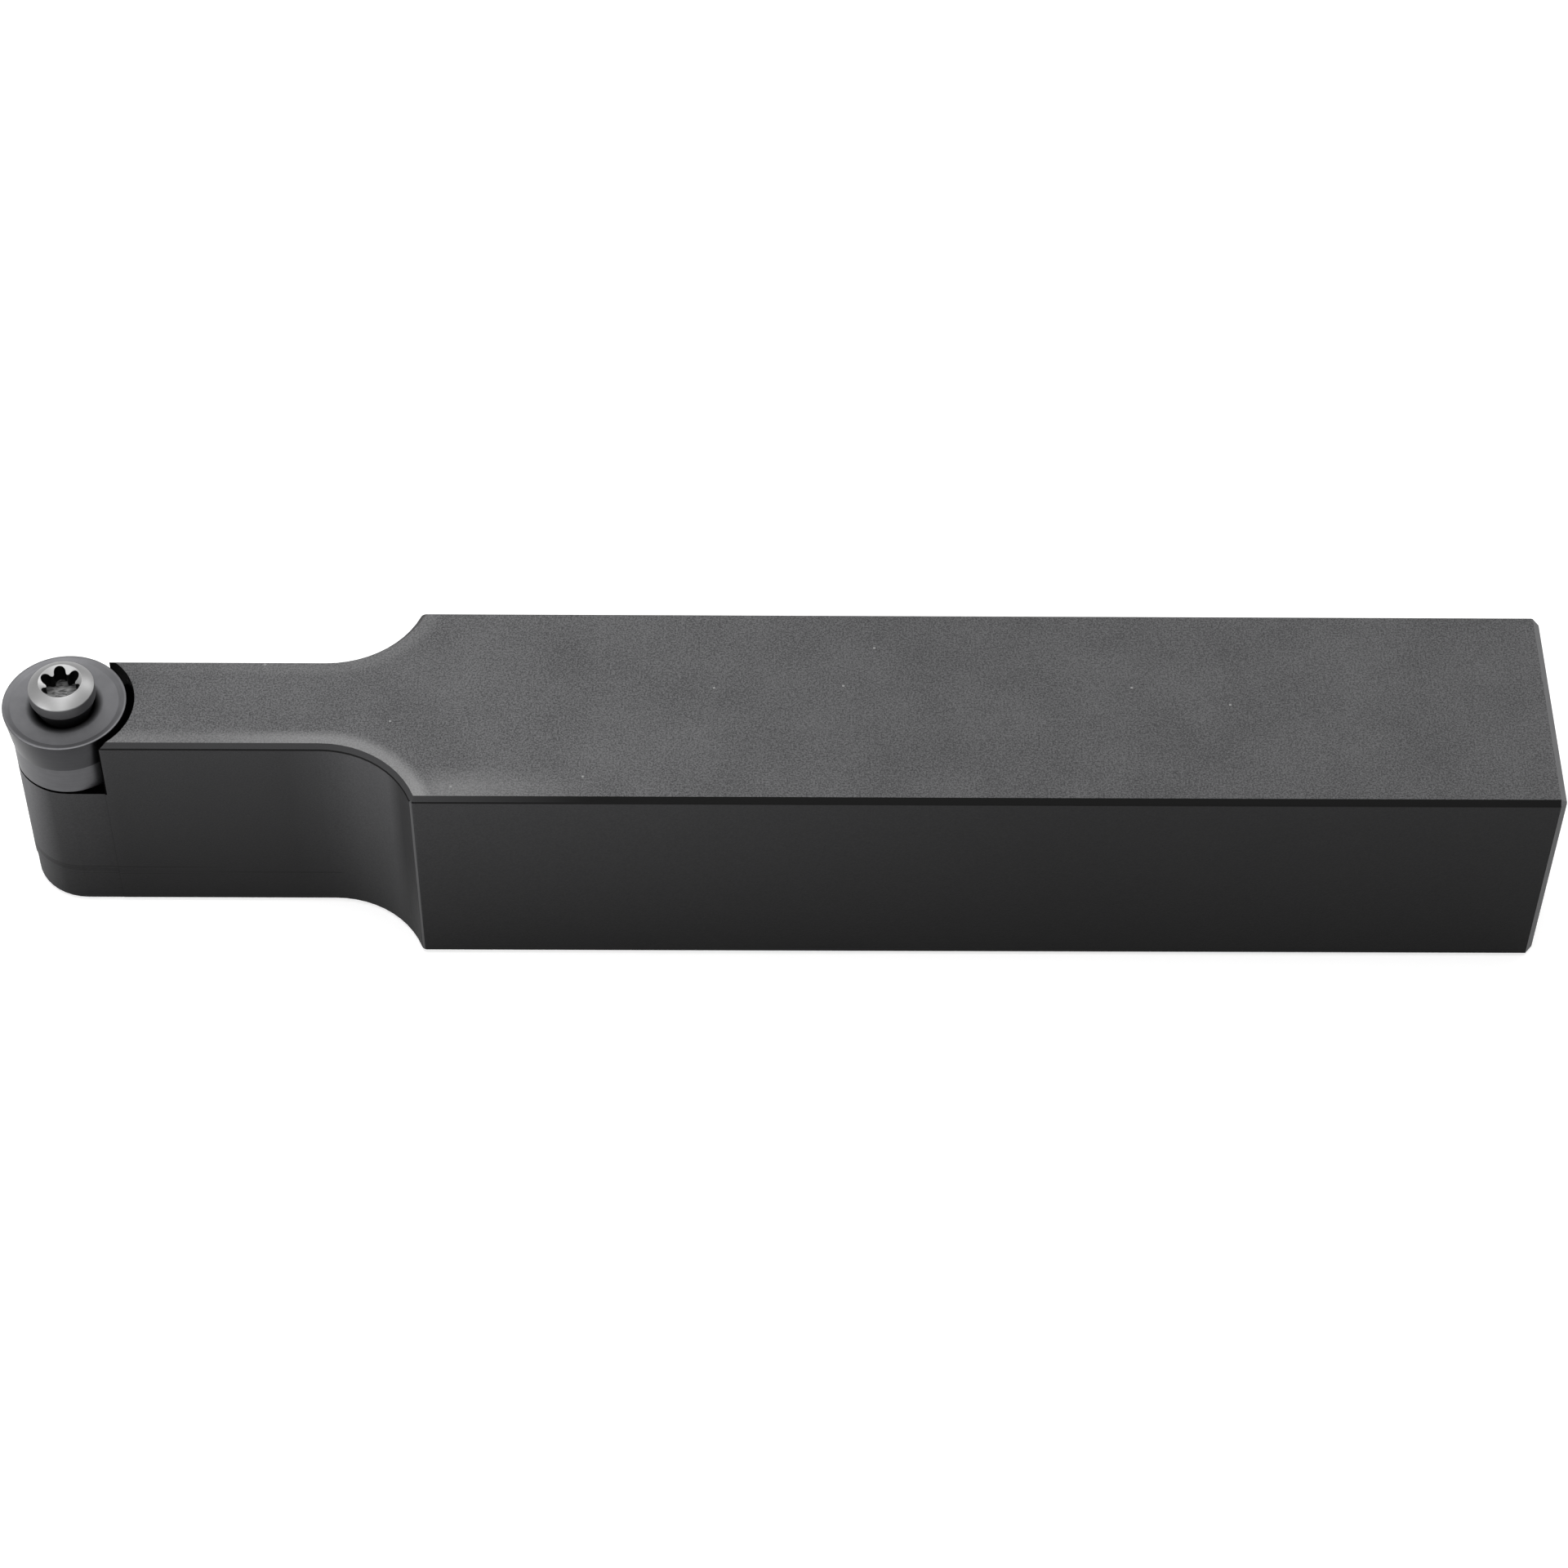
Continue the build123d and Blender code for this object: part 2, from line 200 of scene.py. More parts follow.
@dataclass(frozen=True)
class BlackOxideSteel:
    """Alloy steel, milled, fine-blasted and black-oxided.

    The blasting leaves a matt, salty charcoal on the upper face and a quieter, darker one on
    the walls, darker partly as painted shade; the walls are painted darker still towards the
    foot and the clamped end, and lighter on nose, cheeks and flares, as painted light and shade.
    The broken edges carry painted shade, a painted highlight follows where the blast rolls over
    the upper edge of neck and flares, the rear corners carry painted highlights, the pocket
    and narrow gaps are painted black as shade, and the side cutter has left a few fine lines
    low on the neck.
    """

    top_dark: str = "3b3b3c"
    top_light: str = "606061"
    wall_dark: str = "313132"
    wall_light: str = "373738"
    bevel_shade_neck: str = "353536"
    bevel_shade_shank: str = "0b0b0b"
    rolled_edge_highlight: str = "a8a8a8"
    line_black: str = "080808"
    corner_highlight: str = "6c6c6d"
    fleck: str = "8a8a8a"
    pocket_shade: str = "030303"
    grain_mm: float = 0.14  # blasting grit of about 0.1 mm, drawn coarser so that it shows
    cloud_mm: float = 7.0
    score_mm: float = 0.16  # spacing of the side cutter's lines
    fleck_spacing_mm: float = 2.6
    roughness: float = 0.58
    specular: float = 0.08
    flare_x: float = -36.8
    flare_y: float = 12.625
    flare_radius: float = 8.0
    shoulder_x: float = -29.24
    neck_end_x: float = -36.0
    rear_x: float = 62.5
    half_width: float = 10.0
    height: float = 20.0
    chamfer: float = 0.42
    pocket_radius: float = 5.6
    seat_z: float = 13.9
    hair: float = 0.03  # taken beyond an edge so that a mask surely covers it
    # Start and end along the part, in mm, and levels before and past of painted light: nose,
    # cheeks and flares painted lighter, and painted shade at the dark foot of the flares.
    lit_stretches: tuple[tuple[float, float, float, float], ...] = (
        (-61.0, -59.0, 3.3, 1.15),
        (-57.0, -53.5, 1.5, 1.0),
        (-39.5, -34.0, 0.78, 1.42),
        (-31.2, -30.2, 1.0, 0.4),
    )

    def edge_distance(self, tree: Tree) -> Socket:
        """Builds the distance in from the outline of neck and flares, in metres.

        Args:
            tree: The material's node tree.

        Returns:
            The output that carries the distance.
        """
        place = add_node(tree, "TexCoord").outputs["Object"]
        split = add_node(tree, "SeparateXYZ", {0: place})
        past = add_node(
            tree, "Math", {0: split.outputs["X"], 1: self.flare_x * MM}, operation="SUBTRACT"
        )
        past = add_node(tree, "Math", {0: past, 1: 0.0}, operation="MAXIMUM")
        side = add_node(tree, "Math", {0: split.outputs["Y"]}, operation="ABSOLUTE")
        side = add_node(tree, "Math", {0: self.flare_y * MM, 1: side}, operation="SUBTRACT")
        arm = add_node(tree, "CombineXYZ", {0: past, 1: side})
        reach = add_node(tree, "VectorMath", {0: arm}, operation="LENGTH")
        inside = add_node(
            tree,
            "Math",
            {0: reach.outputs["Value"], 1: self.flare_radius * MM},
            operation="SUBTRACT",
        )
        return inside.outputs[0]

    def pocket_mask(self, tree: Tree) -> Socket:
        """Builds a factor that is 1 on the walls and seat of the pocket, for painted shade.

        Args:
            tree: The material's node tree.

        Returns:
            The output that carries the factor.
        """
        near = add_node(
            tree,
            "Math",
            {0: axis_distance(tree), 1: (self.pocket_radius + self.hair) * MM},
            operation="LESS_THAN",
        )
        above = add_node(
            tree,
            "Math",
            {0: height_above_base(tree), 1: self.seat_z * MM},
            operation="GREATER_THAN",
        )
        both = add_node(tree, "Math", {0: near, 1: above}, operation="MULTIPLY")
        return both.outputs[0]

    def grain(self, tree: Tree) -> Node:
        """Builds the fine noise of the blasted surface and returns its node."""
        place = add_node(tree, "TexCoord").outputs["Object"]
        return add_node(
            tree,
            "TexNoise",
            {"Vector": place, "Scale": 1 / (self.grain_mm * MM), "Detail": 2.0, "Roughness": 0.7},
        )

    def mottle(self, tree: Tree, grain: Node) -> Socket:
        """Adds slow clouds to the grain.

        Args:
            tree: The material's node tree.
            grain: The node that makes the fine noise.

        Returns:
            The output that carries the mottle, from 0 to 1.
        """
        place = add_node(tree, "TexCoord").outputs["Object"]
        salt = add_node(tree, "MapRange", {"Value": grain, 1: 0.36, 2: 0.64})
        cloud = add_node(
            tree,
            "TexNoise",
            {"Vector": place, "Scale": 1 / (self.cloud_mm * MM), "Detail": 5.0, "Roughness": 0.62},
        )
        drift = add_node(tree, "MapRange", {"Value": cloud, 1: 0.3, 2: 0.7, 3: -0.14, 4: 0.14})
        mottled = add_node(tree, "Math", {0: salt, 1: drift}, operation="ADD", use_clamp=True)
        return mottled.outputs[0]

    def wall_fade(self, tree: Tree) -> Socket:
        """Builds how the walls darken towards the foot and the clamped end, as painted shade.

        Args:
            tree: The material's node tree.

        Returns:
            The output that carries the factor.
        """
        coordinates = add_node(tree, "TexCoord")
        place = coordinates.outputs["Object"]
        split = add_node(tree, "SeparateXYZ", {0: place})
        x, z = split.outputs["X"], split.outputs["Z"]
        normal = add_node(tree, "SeparateXYZ", {0: coordinates.outputs["Normal"]})
        # Faces turned to the rear are painted lighter, as painted light.
        rear_face_light = add_node(
            tree, "MapRange", {"Value": normal.outputs["X"], 1: 0.8, 2: 0.95, 3: 1.0, 4: 2.4}
        )
        # Painted light on nose, cheeks and flares; painted shade on the flares before the shoulder.
        side_light: Node | float = 1.0
        for ends_and_levels in self.lit_stretches:
            level = zone(tree, "X", *ends_and_levels)
            side_light = add_node(tree, "Math", {0: side_light, 1: level}, operation="MULTIPLY")
        on_shank = add_node(
            tree, "Math", {0: x, 1: (self.shoulder_x - self.hair) * MM}, operation="GREATER_THAN"
        )
        side_light = add_node(tree, "Mix", {"Factor": on_shank, 2: side_light, 3: 1.0}, data_type="FLOAT")
        # Lines of the side cutter, level, between 3.6 and 4.5 mm above the foot of the neck.
        stretch = (40.0, 40.0, 1 / (self.score_mm * MM))
        lines = add_node(tree, "Mapping", {"Vector": place, "Scale": stretch})
        scored = add_node(tree, "TexNoise", {"Vector": lines, "Scale": 1.0, "Detail": 1.0})
        score = add_node(tree, "MapRange", {"Value": scored, 1: 0.5, 2: 0.62})
        belt = add_node(tree, "Math", {0: z, 1: 4.05 * MM, 2: 0.5 * MM}, operation="COMPARE")
        on_neck = add_node(tree, "Math", {0: x, 1: self.neck_end_x * MM}, operation="LESS_THAN")
        where = add_node(tree, "Math", {0: belt, 1: on_neck}, operation="MULTIPLY")
        depth = add_node(tree, "Math", {0: score, 1: where}, operation="MULTIPLY")
        dark = add_node(tree, "MapRange", {"Value": depth, 3: 1.0, 4: 0.6})
        # Painted shade: the walls darken along the part and towards the foot.
        along = zone(tree, "X", self.shoulder_x, 22.0, 1.0, 0.5)
        fade = zone(tree, "Z", 0.0, 19.0, 0.18, 1.0)
        for factor in (along, side_light, rear_face_light, dark):
            fade = add_node(tree, "Math", {0: fade, 1: factor}, operation="MULTIPLY").outputs[0]
        return fade

    def edge_lines(self, tree: Tree, tone: Socket) -> Socket:
        """Draws broken edges: bevels in painted shade, the black line under them, painted
        highlights.

        Args:
            tree: The material's node tree.
            tone: The colour so far.

        Returns:
            The output that carries the colour.
        """
        coordinates = add_node(tree, "TexCoord")
        split = add_node(tree, "SeparateXYZ", {0: coordinates.outputs["Object"]})
        x, y, z = (split.outputs[axis] for axis in "XYZ")
        normal = add_node(tree, "SeparateXYZ", {0: coordinates.outputs["Normal"]})
        # Slanted bevels are painted dark, as painted shade.
        lean = add_node(tree, "Math", {0: normal.outputs["Z"]}, operation="ABSOLUTE")
        bevel = add_node(tree, "Math", {0: lean, 1: 0.7071, 2: 0.15}, operation="COMPARE")
        before_rear = add_node(
            tree, "Math", {0: x, 1: (self.rear_x - 0.6) * MM}, operation="LESS_THAN"
        )
        bevel = add_node(tree, "Math", {0: bevel, 1: before_rear}, operation="MULTIPLY")
        along = zone(tree, "X", self.shoulder_x, -15.0)
        tones = {"Factor": along, 6: linear(self.bevel_shade_neck), 7: linear(self.bevel_shade_shank)}
        edge = add_node(tree, "Mix", tones, data_type="RGBA").outputs[2]
        rim = (self.height - self.chamfer) * MM
        line = add_node(tree, "Math", {0: z, 1: rim, 2: 0.07 * MM}, operation="COMPARE")
        # Upright bevels: the two at the rear carry a painted highlight, as does the sharp shoulder
        # line.
        across = add_node(tree, "Math", {0: normal.outputs["X"]}, operation="ABSOLUTE")
        slanted = add_node(tree, "Math", {0: across, 1: 0.7071, 2: 0.12}, operation="COMPARE")
        rear = add_node(tree, "Math", {0: x, 1: (self.rear_x - 0.7) * MM}, operation="GREATER_THAN")
        side = add_node(tree, "Math", {0: y}, operation="ABSOLUTE")
        outer = add_node(
            tree, "Math", {0: side, 1: (self.half_width - 0.16) * MM}, operation="GREATER_THAN"
        )
        shoulder = add_node(
            tree, "Math", {0: x, 1: self.shoulder_x * MM, 2: 0.16 * MM}, operation="COMPARE"
        )
        corner = add_node(tree, "Math", {0: outer, 1: shoulder}, operation="MULTIPLY")
        corner = add_node(tree, "Math", {0: corner, 1: 0.35}, operation="MULTIPLY")
        highlighted_corners = add_node(
            tree, "Math", {0: slanted, 1: rear, 2: corner}, operation="MULTIPLY_ADD", use_clamp=True
        )
        coats = (bevel, edge), (line, linear(self.line_black)), (highlighted_corners, linear(self.corner_highlight))
        for factor, coat in coats:
            mixed = add_node(tree, "Mix", {"Factor": factor, 6: tone, 7: coat}, data_type="RGBA")
            tone = mixed.outputs[2]
        return tone

    def flecks(self, tree: Tree) -> Socket:
        """Builds a few pale specks where the oxide is chipped, 0.2 mm or so across.

        Args:
            tree: The material's node tree.

        Returns:
            The output that carries the factor.
        """
        place = add_node(tree, "TexCoord").outputs["Object"]
        cells = add_node(
            tree,
            "TexVoronoi",
            {"Vector": place, "Scale": 1 / (self.fleck_spacing_mm * MM)},
            voronoi_dimensions="2D",
        )
        dot = add_node(tree, "Math", {0: cells.outputs["Distance"], 1: 0.04}, operation="LESS_THAN")
        pick = add_node(tree, "SeparateColor", {0: cells.outputs["Color"]})
        few = add_node(tree, "Math", {0: pick.outputs["Red"], 1: 0.972}, operation="GREATER_THAN")
        return add_node(tree, "Math", {0: dot, 1: few}, operation="MULTIPLY").outputs[0]

    def make(self) -> Material:
        """Builds the finish and returns its material."""
        material, tree = new_material("black_oxide_blasted_steel")
        coordinates = add_node(tree, "TexCoord")
        normal = add_node(tree, "SeparateXYZ", {0: coordinates.outputs["Normal"]})
        facing_up = add_node(tree, "MapRange", {"Value": normal.outputs["Z"], 1: 0.85, 2: 0.95})
        grain = self.grain(tree)
        mottled = self.mottle(tree, grain)
        ground: list[Socket] = []
        # The upper face lightens towards the nose as painted light; the darker walls are partly
        # painted shade.
        for dark, light, fade in (
            (self.top_dark, self.top_light, zone(tree, "X", -20.0, 14.0, 1.25, 1.04)),
            (self.wall_dark, self.wall_light, self.wall_fade(tree)),
        ):
            shades = {"Factor": mottled, 6: linear(dark), 7: linear(light)}
            mixed = add_node(tree, "Mix", shades, data_type="RGBA").outputs[2]
            scaled = {0: mixed, "Scale": fade}
            ground.append(add_node(tree, "VectorMath", scaled, operation="SCALE").outputs[0])
        top, wall = ground
        # The blast rolls over the upper edge, and a painted highlight about 1 mm wide follows it.
        band = add_node(
            tree,
            "MapRange",
            {"Value": self.edge_distance(tree), 1: 2.0 * MM, 2: 0.9 * MM, 4: 0.34},
            interpolation_type="SMOOTHSTEP",
        )
        one_side = zone(tree, "Y", 2.0, -2.0, 0.3, 1.0)
        for factor in (one_side, facing_up, zone(tree, "X", -46.0, -38.0, 0.45, 1.0)):
            band = add_node(tree, "Math", {0: band, 1: factor}, operation="MULTIPLY")
        # Past the shoulder, the painted highlight runs on along the same side for another 15 mm.
        shank_edge_highlight = zone(tree, "X", -25.0, -14.0, 0.2, 0.0)
        for factor in (zone(tree, "Y", -6.5, -8.5), zone(tree, "X", -30.0, -27.0)):
            shank_edge_highlight = add_node(tree, "Math", {0: shank_edge_highlight, 1: factor}, operation="MULTIPLY")
        edge_highlight = add_node(
            tree, "Math", {0: shank_edge_highlight, 1: facing_up, 2: band}, operation="MULTIPLY_ADD"
        )
        flecked = add_node(tree, "Math", {0: self.flecks(tree), 1: facing_up}, operation="MULTIPLY")
        tone = wall
        for factor, coat in (
            (facing_up, top),
            (edge_highlight, linear(self.rolled_edge_highlight)),
            (flecked, linear(self.fleck)),
        ):
            mixed = add_node(tree, "Mix", {"Factor": factor, 6: tone, 7: coat}, data_type="RGBA")
            tone = mixed.outputs[2]
        tone = self.edge_lines(tree, tone)
        # Narrow gaps and the pocket are painted black, as painted shade.
        clear = openness(tree, 0.6, 0.45, 0.85)
        pocket = self.pocket_mask(tree)
        shut = add_node(tree, "Math", {0: 1.0, 1: clear}, operation="SUBTRACT", use_clamp=True)
        painted_shade = add_node(tree, "Math", {0: shut, 1: pocket}, operation="MAXIMUM")
        roughness = add_node(tree, "MapRange", {"Value": pocket, 3: self.roughness, 4: 1.0})
        bump = add_node(tree, "Bump", {"Strength": 0.45, "Distance": 0.03 * MM, "Height": grain})
        black = linear(self.pocket_shade)
        mixed = add_node(tree, "Mix", {"Factor": painted_shade, 6: tone, 7: black}, data_type="RGBA")
        shader = add_node(
            tree,
            "BsdfPrincipled",
            {
                "Base Color": mixed.outputs[2],
                "Metallic": painted_shade,
                "Roughness": roughness,
                "Specular IOR Level": self.specular,
                "Normal": bump,
            },
        )
        add_node(tree, "OutputMaterial", {"Surface": shader})
        return material


@dataclass(frozen=True)
class SinteredCarbide:
    """Tungsten carbide in cobalt, pressed, sintered and ground: a dense dark metal sheen.

    The grain is too fine to see. Grinding leaves faint rings round the flank, and the hole
    and the slot behind the insert are painted black as painted shade.
    """

    name: str = "sintered_ground_carbide"
    flank: str = "323234"
    face: str = "5f5f61"
    shade_black: str = "030303"
    flank_roughness: float = 0.36
    face_roughness: float = 0.56
    grind_mm: float = 0.12  # spacing of the grinding rings, drawn coarser so that it shows
    cloud_mm: float = 1.5
    hole_fade_mm: tuple[float, float] = (2.35, 3.15)
    slot_mm: float = 0.6  # width of gap that the painted shade fills

    def make(self) -> Material:
        """Builds the finish and returns its material."""
        material, tree = new_material(self.name)
        coordinates = add_node(tree, "TexCoord")
        place = coordinates.outputs["Object"]
        across = 1 / (self.grind_mm * MM)
        squeezed = add_node(
            tree, "Mapping", {"Vector": place, "Scale": (across * 0.03, across * 0.03, across)}
        )
        rings = add_node(
            tree, "TexNoise", {"Vector": squeezed, "Scale": 1.0, "Detail": 2.0, "Roughness": 0.6}
        )
        cloud = add_node(
            tree,
            "TexNoise",
            {"Vector": place, "Scale": 1 / (self.cloud_mm * MM), "Detail": 3.0, "Roughness": 0.6},
        )
        wear = add_node(tree, "Mix", {"Factor": 0.5, 2: rings, 3: cloud}, data_type="FLOAT")
        shade = add_node(tree, "MapRange", {"Value": wear, 1: 0.3, 2: 0.7, 3: 0.86, 4: 1.14})
        normal = add_node(tree, "SeparateXYZ", {0: coordinates.outputs["Normal"]})
        facing_up = add_node(tree, "MapRange", {"Value": normal.outputs["Z"], 1: 0.3, 2: 0.7})
        tones = {"Factor": facing_up, 6: linear(self.flank), 7: linear(self.face)}
        ground = add_node(tree, "Mix", tones, data_type="RGBA").outputs[2]
        lit = add_node(tree, "VectorMath", {0: ground, "Scale": shade}, operation="SCALE")
        # The hole is painted black, fading outwards, as painted shade under the screw head.
        inner, outer = self.hole_fade_mm
        open_top = add_node(
            tree, "MapRange", {"Value": axis_distance(tree), 1: inner * MM, 2: outer * MM}
        )
        clear = openness(tree, self.slot_mm, 0.45, 0.75)
        exposed = add_node(tree, "Math", {0: facing_up, 1: clear}, operation="MAXIMUM")
        lit_share = add_node(tree, "Math", {0: open_top, 1: exposed}, operation="MULTIPLY")
        shaded = {"Factor": lit_share, 6: linear(self.shade_black), 7: lit}
        tone = add_node(tree, "Mix", shaded, data_type="RGBA").outputs[2]
        gloss = add_node(
            tree, "MapRange", {"Value": facing_up, 3: self.flank_roughness, 4: self.face_roughness}
        )
        bump = add_node(tree, "Bump", {"Strength": 0.25, "Distance": 0.004 * MM, "Height": rings})
        coat = {"Base Color": tone, "Metallic": 1.0, "Roughness": gloss, "Normal": bump}
        shader = add_node(tree, "BsdfPrincipled", coat)
        add_node(tree, "OutputMaterial", {"Surface": shader})
        return material


@dataclass(frozen=True)
class ScrewSteel:
    """Heat-treated alloy steel, oxided dark, with a tumbled head left bright.

    The dome shows a soft satin sheen with fine tumbling marks. Below the rim the dark oxide
    tone also stands for painted shade under the head. The walls of the drive are painted black
    as painted shade, the bevel of its mouth carries a painted highlight, and the floor keeps
    the grey, crumpled marks of the forming punch.
    """

    name: str = "tumbled_screw_steel"
    dome: str = "868686"
    rim: str = "606061"
    # Oxide tone below the rim, which also paints the shade under the head.
    dark: str = "2e2e2f"
    # Painted shade on the walls of the drive.
    drive_wall_shade: str = "0c0c0c"
    drive_floor: str = "7e7e7e"
    # Painted highlight on the bevel of the drive's mouth.
    bevel: str = "a0a0a0"
    roughness: float = 0.46
    rim_z: float = 20.905
    dome_foot_z: float = 21.955
    bevel_slope: float = 38.0
    bevel_foot_z: float = 21.238  # height at which the bevel's cone would meet the axis
    floor_z: float = 20.86
    mark_mm: float = 0.18  # tumbling and punch marks

    def make(self) -> Material:
        """Builds the finish and returns its material."""
        material, tree = new_material(self.name)
        place = add_node(tree, "TexCoord").outputs["Object"]
        height = height_above_base(tree)
        reach = axis_distance(tree)
        scale = 1 / (self.mark_mm * MM)
        marks = add_node(
            tree, "TexNoise", {"Vector": place, "Scale": scale, "Detail": 4.0, "Roughness": 0.65}
        )
        smeared = add_node(tree, "Mapping", {"Vector": place, "Scale": (0.3, 1.0, 1.0)})
        streaks = add_node(
            tree, "TexNoise", {"Vector": smeared, "Scale": scale, "Detail": 3.0, "Distortion": 0.6}
        )
        # Inside the drive: under the cone of its bevel, over its floor and within its lobes.
        slope = -tan(radians(self.bevel_slope))
        cone = add_node(tree, "Math", {0: reach, 1: slope, 2: height}, operation="MULTIPLY_ADD")
        foot = self.bevel_foot_z
        walls = add_node(
            tree, "MapRange", {"Value": cone, 1: (foot - 0.03) * MM, 2: (foot - 0.07) * MM}
        )
        on_bevel = add_node(
            tree, "Math", {0: cone, 1: foot * MM, 2: 0.03 * MM}, operation="COMPARE"
        )
        within = add_node(tree, "MapRange", {"Value": reach, 1: 1.8 * MM, 2: 1.77 * MM})
        above_cone = zone(tree, "Z", 20.4, 20.5)
        inside = add_node(tree, "Math", {0: within, 1: above_cone}, operation="MULTIPLY")
        walls = add_node(tree, "Math", {0: walls, 1: inside}, operation="MULTIPLY")
        on_bevel = add_node(tree, "Math", {0: on_bevel, 1: inside}, operation="MULTIPLY")
        punched = zone(tree, "Z", self.floor_z + 0.04, self.floor_z)
        crumple = add_node(tree, "MapRange", {"Value": streaks, 1: 0.36, 2: 0.62, 3: 0.15, 4: 1.0})
        floor = add_node(tree, "Math", {0: punched, 1: crumple}, operation="MULTIPLY")
        lining = {"Factor": floor, 6: linear(self.drive_wall_shade), 7: linear(self.drive_floor)}
        lined = add_node(tree, "Mix", lining, data_type="RGBA").outputs[2]
        # Below the rim the dark oxide tone also stands for painted shade under the head.
        tone: Any = linear(self.dark)
        for factor, coat in (
            (zone(tree, "Z", self.rim_z - 0.03, self.rim_z + 0.03), linear(self.rim)),
            (zone(tree, "Z", self.dome_foot_z - 0.04, self.dome_foot_z + 0.04), linear(self.dome)),
            # The drive's walls are painted black as painted shade; its floor keeps the punch marks.
            (walls, lined),
            # The mouth's bevel gets a painted highlight.
            (on_bevel, linear(self.bevel)),
        ):
            mixed = add_node(tree, "Mix", {"Factor": factor, 6: tone, 7: coat}, data_type="RGBA")
            tone = mixed.outputs[2]
        bump = add_node(tree, "Bump", {"Strength": 0.3, "Distance": 0.006 * MM, "Height": marks})
        coat = {"Base Color": tone, "Metallic": 1.0, "Roughness": self.roughness, "Normal": bump}
        shader = add_node(tree, "BsdfPrincipled", coat)
        add_node(tree, "OutputMaterial", {"Surface": shader})
        return material


def select_mesh() -> None:
    """Selects all of the mesh in edit mode."""
    bpy.ops.mesh.select_all(action="SELECT")


def draw_chain(name: str, points: list[tuple[float, float, float]]) -> Solid:
    """Draws a chain of edges by extruding one vertex from point to point.

    Args:
        name: The new object's name.
        points: The corners, in millimetres.

    Returns:
        The object, still in edit mode, with its last vertex selected.
    """
    bpy.ops.object.select_all(action="DESELECT")
    bpy.ops.mesh.primitive_plane_add(size=MM, location=(0, 0, 0))
    chain = bpy.context.object
    chain.name = name
    bpy.ops.object.mode_set(mode="EDIT")
    bpy.ops.mesh.merge(type="CENTER")
    corners = [Vector(point) * MM for point in points]
    bpy.ops.transform.translate(value=corners[0])
    for start, end in zip(corners, corners[1:]):
        bpy.ops.mesh.extrude_region_move(TRANSFORM_OT_translate={"value": end - start})
    return chain


def turn_solid(name: str, profile: list[tuple[float, float]], steps: int = 192) -> Solid:
    """Turns a closed profile about the tool axis.

    Args:
        name: The new object's name.
        profile: Corners as (radius, height), in millimetres.
        steps: Facets round the axis.

    Returns:
        The solid, in object mode.
    """
    closed = profile if profile[0][0] == profile[-1][0] == 0 else [*profile, profile[0]]
    solid = draw_chain(name, [(AXIS_X + radius, 0.0, height) for radius, height in closed])
    select_mesh()
    bpy.ops.mesh.remove_doubles(threshold=WELD)
    bpy.ops.mesh.spin(steps=steps, angle=2 * pi, center=(AXIS_X * MM, 0, 0), axis=(0, 0, 1))
    select_mesh()
    bpy.ops.mesh.remove_doubles(threshold=WELD)
    bpy.ops.mesh.normals_make_consistent(inside=False)
    bpy.ops.object.mode_set(mode="OBJECT")
    return solid


def pick(solid: Solid) -> None:
    """Selects one object alone and makes it the active one."""
    bpy.ops.object.select_all(action="DESELECT")
    solid.select_set(True)
    bpy.context.view_layer.objects.active = solid


def carve(solid: Solid, tool: Solid, cut: Cut) -> None:
    """Joins, cuts or trims one solid with another, which is used up.

    Args:
        solid: The solid that stays.
        tool: The solid that is used up.
        cut: What happens to the solid.
    """
    pick(solid)
    modifier = solid.modifiers.new("carve", "BOOLEAN")
    modifier.operation = cut.value
    modifier.solver = "EXACT"
    modifier.object = tool
    bpy.ops.object.modifier_apply(modifier=modifier.name)
    bpy.data.objects.remove(tool)
    bpy.ops.object.mode_set(mode="EDIT")
    select_mesh()
    bpy.ops.mesh.remove_doubles(threshold=SLIVER)
    bpy.ops.mesh.dissolve_degenerate(threshold=SLIVER)
    select_mesh()
    bpy.ops.mesh.delete_loose()
    select_mesh()
    bpy.ops.mesh.fill_holes(sides=4)
    bpy.ops.object.mode_set(mode="OBJECT")


@dataclass
class Part:
    """One physical piece of the tool: its CAD node, the body that carries it and its slot."""

    node: str
    body: Body
    slot: str

    def dress(self, material: Material) -> None:
        """Puts one material on the carried-over solid."""
        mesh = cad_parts[self.node].data
        mesh.materials.clear()
        mesh.materials.append(material)
        LOG.info("dressed %s with %s", self.node, material.name)

    def stand_in(self, piece: Solid, material: Material) -> Solid:
        """Smooths and dresses a new piece and lets it stand for the CAD node.

        Args:
            piece: The new piece.
            material: Its finish.

        Returns:
            The piece.
        """
        pick(piece)
        bpy.ops.object.shade_smooth_by_angle(angle=radians(SMOOTH_BELOW))
        weighted = piece.modifiers.new("flat_faces_stay_flat", "WEIGHTED_NORMAL")
        weighted.weight = 100
        weighted.keep_sharp = True
        bpy.ops.object.modifier_apply(modifier=weighted.name)
        piece.data.materials.clear()
        piece.data.materials.append(material)
        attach(piece, self.body.value)
        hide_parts(self.node)
        LOG.info("built %s for %s: %d faces", piece.name, self.node, len(piece.data.polygons))
        return piece


def round_points(
    centre: tuple[float, float] | Vector, radius: float, angles: list[float]
) -> list[tuple[float, float]]:
    """Returns the points of a circle at some angles, which are in radians."""
    return [(centre[0] + radius * cos(a), centre[1] + radius * sin(a)) for a in angles]


def arc_points(
    centre: tuple[float, float], radius: float, start: float, end: float, samples: int
) -> list[tuple[float, float]]:
    """Samples an arc of a profile, both ends included.

    Args:
        centre: Centre as (radius from the axis, height), in millimetres.
        radius: Radius of the arc, in millimetres.
        start: First direction, in degrees from outwards.
        end: Last direction, in degrees from outwards.
        samples: Steps along the arc.

    Returns:
        Corners as (radius, height), in millimetres.
    """
    turns = [radians(start + (end - start) * k / samples) for k in range(samples + 1)]
    return round_points(centre, radius, turns)


